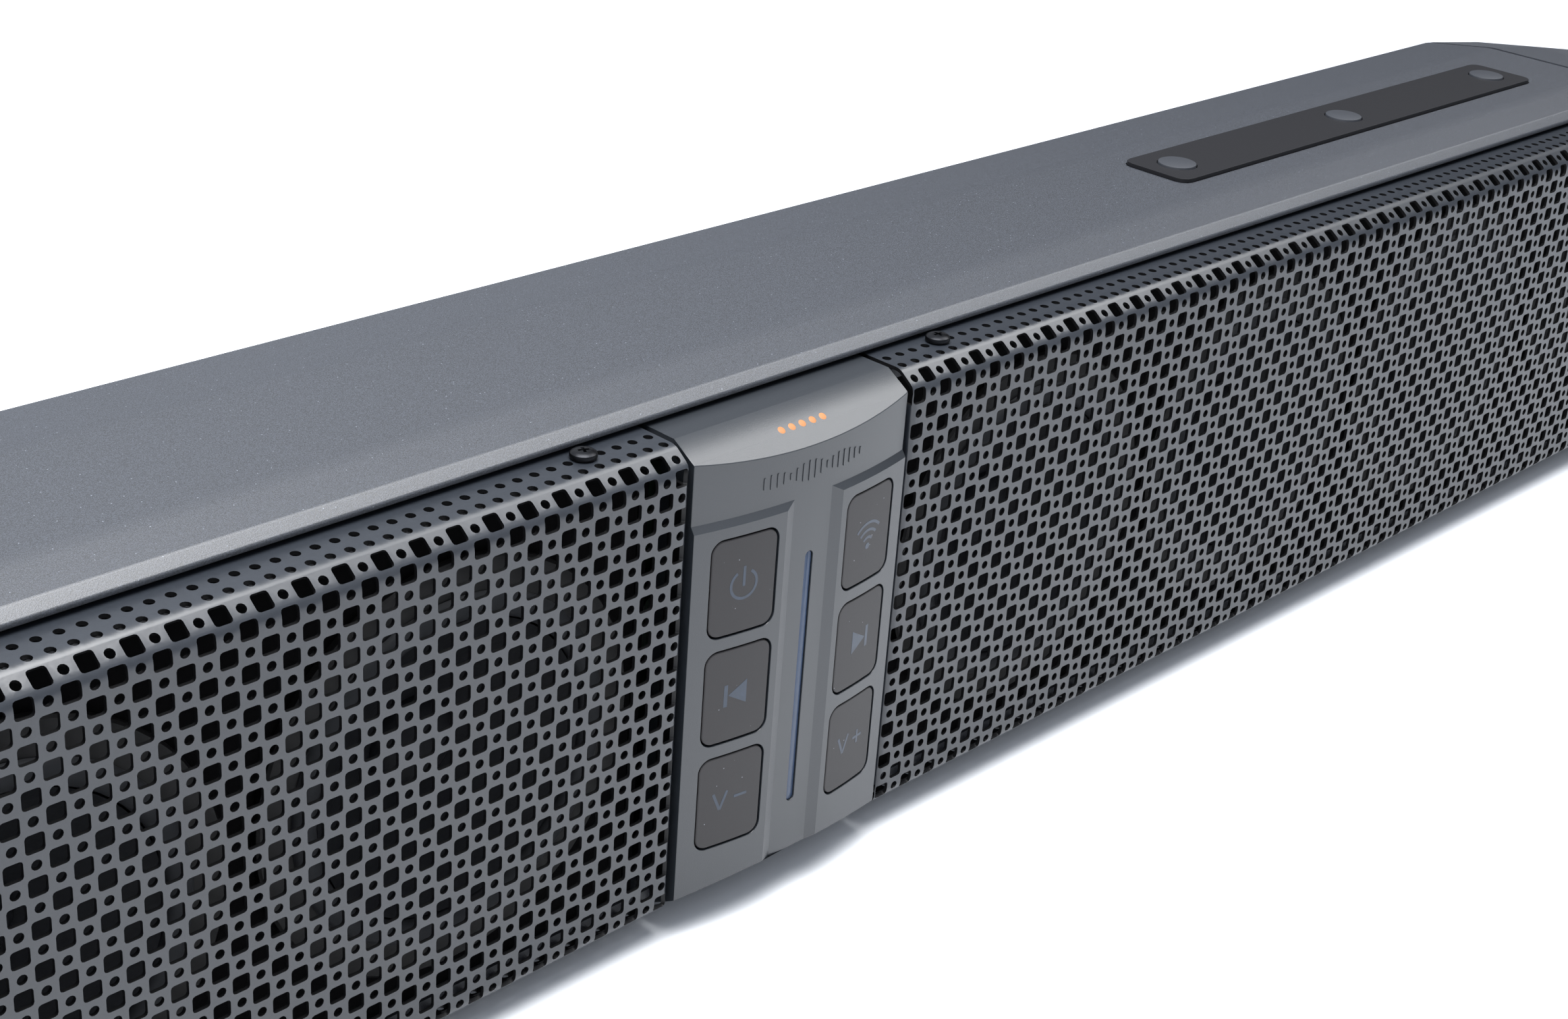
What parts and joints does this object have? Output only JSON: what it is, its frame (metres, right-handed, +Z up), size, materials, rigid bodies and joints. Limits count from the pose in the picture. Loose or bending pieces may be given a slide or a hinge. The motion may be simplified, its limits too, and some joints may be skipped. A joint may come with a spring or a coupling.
{
  "type": "powered soundbar",
  "caption": "Long powered soundbar for a roll cage: grey housing, perforated grilles either side of a bowed control panel with push buttons, tapered end caps and mounting points on top.",
  "frame": {"origin": "middle of the flat underside, halfway between the grilles' face and the back wall", "axes": "+X along the bar towards the right end as seen from the front, -Y the front with the grilles, +Z up"},
  "size_m": [0.9, 0.1053, 0.1179],
  "materials": {
    "grey_textured_paint": "fine sandy powder coat, dark grey",
    "painted_steel_sheet": "smooth satin paint on perforated sheet",
    "grey_moulded_abs": "finely textured moulding",
    "black_moulded_abs": "textured black moulding",
    "button_rubber": "soft-touch silicone",
    "black_rubber": "matt",
    "black_screw_steel": "black oxide",
    "clear_light_guide": "milky translucent, blue-grey unlit",
    "amber_light_guide": "milky translucent, amber",
    "treated_paper_cone": "coated pulp",
    "plain_aluminium": "as extruded",
    "circuit_board": "solder mask"
  },
  "bodies": {
    "root": {"amplifier_board": "circuit_board", "baffle_left": "black_moulded_abs", "baffle_right": "black_moulded_abs", "bulkhead_left": "black_moulded_abs", "bulkhead_right": "black_moulded_abs", "control_board": "circuit_board", "control_panel": "grey_moulded_abs", "end_cap_gasket_left": "black_rubber", "end_cap_gasket_right": "black_rubber", "end_cap_left": "grey_textured_paint", "end_cap_right": "grey_textured_paint", "end_plate_left": "black_moulded_abs", "end_plate_right": "black_moulded_abs", "grille_left": "painted_steel_sheet", "grille_right": "painted_steel_sheet", "grille_screw_1": "black_screw_steel", "grille_screw_2": "black_screw_steel", "grille_screw_3": "black_screw_steel", "grille_screw_4": "black_screw_steel", "grille_screw_5": "black_screw_steel", "grille_screw_6": "black_screw_steel", "grille_screw_7": "black_screw_steel", "grille_screw_8": "black_screw_steel", "heatsink": "plain_aluminium", "housing": "grey_textured_paint", "keypad_membrane": "black_rubber", "light_strip": "clear_light_guide", "mount_plate_left": "black_moulded_abs", "mount_plate_right": "black_moulded_abs", "mount_plug_left_1": "black_rubber", "mount_plug_left_2": "black_rubber", "mount_plug_left_3": "black_rubber", "mount_plug_right_1": "black_rubber", "mount_plug_right_2": "black_rubber", "mount_plug_right_3": "black_rubber", "power_connector": "black_moulded_abs", "signal_connector": "black_moulded_abs", "status_lights": "amber_light_guide", "tweeter_left": "black_moulded_abs", "tweeter_right": "black_moulded_abs", "woofer_body_left_1": "black_moulded_abs", "woofer_body_left_2": "black_moulded_abs", "woofer_body_left_3": "black_moulded_abs", "woofer_body_right_1": "black_moulded_abs", "woofer_body_right_2": "black_moulded_abs", "woofer_body_right_3": "black_moulded_abs"},
    "next_button": {"next_button": "button_rubber"},
    "power_button": {"power_button": "button_rubber"},
    "previous_button": {"previous_button": "button_rubber"},
    "volume_down_button": {"volume_down_button": "button_rubber"},
    "volume_up_button": {"volume_up_button": "button_rubber"},
    "wireless_button": {"wireless_button": "button_rubber"},
    "woofer_cone_left_1": {"woofer_cone_left_1": "treated_paper_cone"},
    "woofer_cone_left_2": {"woofer_cone_left_2": "treated_paper_cone"},
    "woofer_cone_left_3": {"woofer_cone_left_3": "treated_paper_cone"},
    "woofer_cone_right_1": {"woofer_cone_right_1": "treated_paper_cone"},
    "woofer_cone_right_2": {"woofer_cone_right_2": "treated_paper_cone"},
    "woofer_cone_right_3": {"woofer_cone_right_3": "treated_paper_cone"}
  },
  "joints": [
    {"name": "next_button_press", "type": "slide", "parent": "root", "child": "next_button", "axis": [0, 1, 0], "range_m": [0, 0.0008], "stiffness_N_per_m": 1500},
    {"name": "power_button_press", "type": "slide", "parent": "root", "child": "power_button", "axis": [0, 1, 0], "range_m": [0, 0.0008], "stiffness_N_per_m": 1500},
    {"name": "previous_button_press", "type": "slide", "parent": "root", "child": "previous_button", "axis": [0, 1, 0], "range_m": [0, 0.0008], "stiffness_N_per_m": 1500},
    {"name": "volume_down_button_press", "type": "slide", "parent": "root", "child": "volume_down_button", "axis": [0, 1, 0], "range_m": [0, 0.0008], "stiffness_N_per_m": 1500},
    {"name": "volume_up_button_press", "type": "slide", "parent": "root", "child": "volume_up_button", "axis": [0, 1, 0], "range_m": [0, 0.0008], "stiffness_N_per_m": 1500},
    {"name": "wireless_button_press", "type": "slide", "parent": "root", "child": "wireless_button", "axis": [0, 1, 0], "range_m": [0, 0.0008], "stiffness_N_per_m": 1500},
    {"name": "woofer_stroke_left_1", "type": "slide", "parent": "root", "child": "woofer_cone_left_1", "axis": [0, -1, 0], "range_m": [-0.0015, 0.0015], "stiffness_N_per_m": 1200},
    {"name": "woofer_stroke_left_2", "type": "slide", "parent": "root", "child": "woofer_cone_left_2", "axis": [0, -1, 0], "range_m": [-0.0015, 0.0015], "stiffness_N_per_m": 1200},
    {"name": "woofer_stroke_left_3", "type": "slide", "parent": "root", "child": "woofer_cone_left_3", "axis": [0, -1, 0], "range_m": [-0.0015, 0.0015], "stiffness_N_per_m": 1200},
    {"name": "woofer_stroke_right_1", "type": "slide", "parent": "root", "child": "woofer_cone_right_1", "axis": [0, -1, 0], "range_m": [-0.0015, 0.0015], "stiffness_N_per_m": 1200},
    {"name": "woofer_stroke_right_2", "type": "slide", "parent": "root", "child": "woofer_cone_right_2", "axis": [0, -1, 0], "range_m": [-0.0015, 0.0015], "stiffness_N_per_m": 1200},
    {"name": "woofer_stroke_right_3", "type": "slide", "parent": "root", "child": "woofer_cone_right_3", "axis": [0, -1, 0], "range_m": [-0.0015, 0.0015], "stiffness_N_per_m": 1200}
  ]
}
